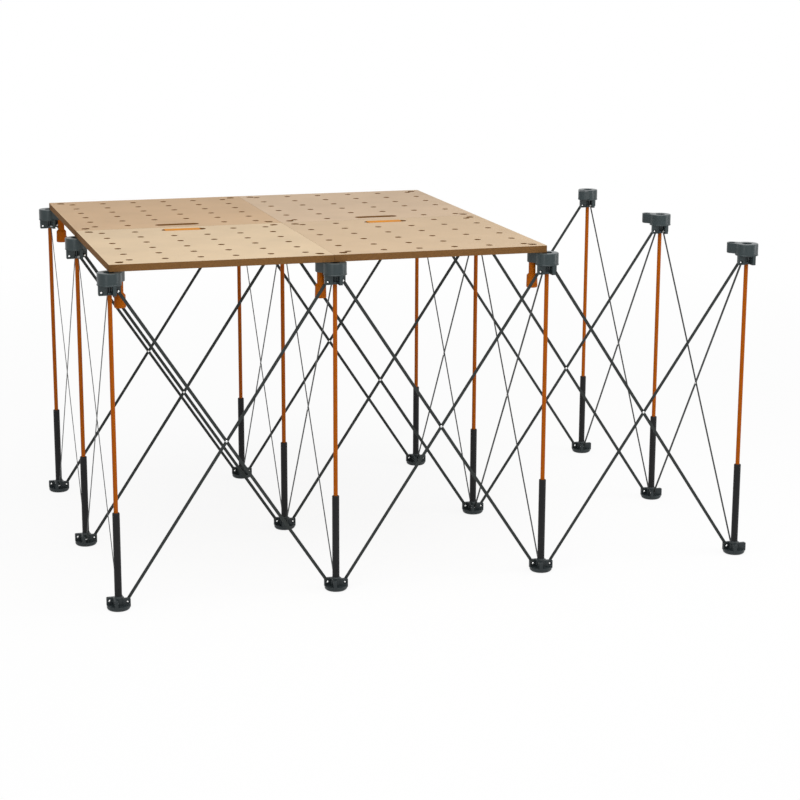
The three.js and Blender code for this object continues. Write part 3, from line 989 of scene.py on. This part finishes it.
def make_floor():
    plane = bmesh.new()
    bmesh.ops.create_grid(plane, x_segments=FLOOR_CELLS, y_segments=FLOOR_CELLS, size=FLOOR_SIZE / 2)
    mesh = bpy.data.meshes.new("floor")
    plane.to_mesh(mesh)
    plane.free()
    floor = bpy.data.objects.new("floor", mesh)
    floor.location.z = cad_low.z
    bpy.context.scene.collection.objects.link(floor)
    material = bpy.data.materials.new("floor_white")
    material.use_nodes = True
    tree = material.node_tree
    tree.nodes.clear()
    lit = tree.nodes.new("ShaderNodeBsdfDiffuse")
    lit.inputs["Color"].default_value = (FLOOR_TONE, FLOOR_TONE, FLOOR_TONE, 1)
    shaded = tree.nodes.new("ShaderNodeBsdfDiffuse")
    shaded.inputs["Color"].default_value = (1, 1, 1, 1)
    white = tree.nodes.new("ShaderNodeEmission")
    seen = mix_shaders(tree, fading_share(tree), white, shaded)
    both = mix_shaders(tree, from_camera(tree), lit, seen)
    output = tree.nodes.new("ShaderNodeOutputMaterial")
    tree.links.new(both.outputs[0], output.inputs["Surface"])
    mesh.materials.append(material)


def make_world():
    world = bpy.data.worlds.new("studio")
    world.use_nodes = True
    tree = world.node_tree
    tree.nodes.clear()
    fill = tree.nodes.new("ShaderNodeBackground")
    fill.inputs["Color"].default_value = (1, 1, 1, 1)
    fill.inputs["Strength"].default_value = WORLD_LIGHT
    white = tree.nodes.new("ShaderNodeBackground")
    white.inputs["Color"].default_value = (1, 1, 1, 1)
    both = mix_shaders(tree, from_camera(tree), fill, white)
    output = tree.nodes.new("ShaderNodeOutputWorld")
    tree.links.new(both.outputs[0], output.inputs["Surface"])
    bpy.context.scene.world = world


def make_lamp(name, place, target, width, height, power):
    lamp = bpy.data.lights.new(name, "AREA")
    lamp.shape = "RECTANGLE"
    lamp.size = width
    lamp.size_y = height
    lamp.energy = power
    made = bpy.data.objects.new(name, lamp)
    made.location = place
    made.rotation_euler = (Vector(target) - Vector(place)).to_track_quat("-Z", "Y").to_euler()
    bpy.context.scene.collection.objects.link(made)


def make_camera():
    ahead = Vector((
        math.sin(CAMERA_AZIMUTH) * math.cos(CAMERA_DIP),
        math.cos(CAMERA_AZIMUTH) * math.cos(CAMERA_DIP),
        -math.sin(CAMERA_DIP),
    ))
    level = ahead.cross(Vector((0, 0, 1))).normalized()
    above = level.cross(ahead)
    right = level * math.cos(CAMERA_ROLL) + above * math.sin(CAMERA_ROLL)
    up = above * math.cos(CAMERA_ROLL) - level * math.sin(CAMERA_ROLL)
    lens = bpy.data.cameras.new("camera")
    lens.lens = CAMERA_LENS
    lens.clip_end = FLOOR_SIZE
    made = bpy.data.objects.new("camera", lens)
    facing = Matrix((right, up, -ahead)).transposed().to_4x4()
    made.matrix_world = Matrix.Translation(CAMERA_PLACE) @ facing
    bpy.context.scene.collection.objects.link(made)
    bpy.context.scene.camera = made


make_floor()
make_world()
for lamp in LAMPS:
    make_lamp(*lamp)
make_camera()
bpy.context.scene.view_settings.view_transform = "Standard"

bpy.context.view_layer.update()
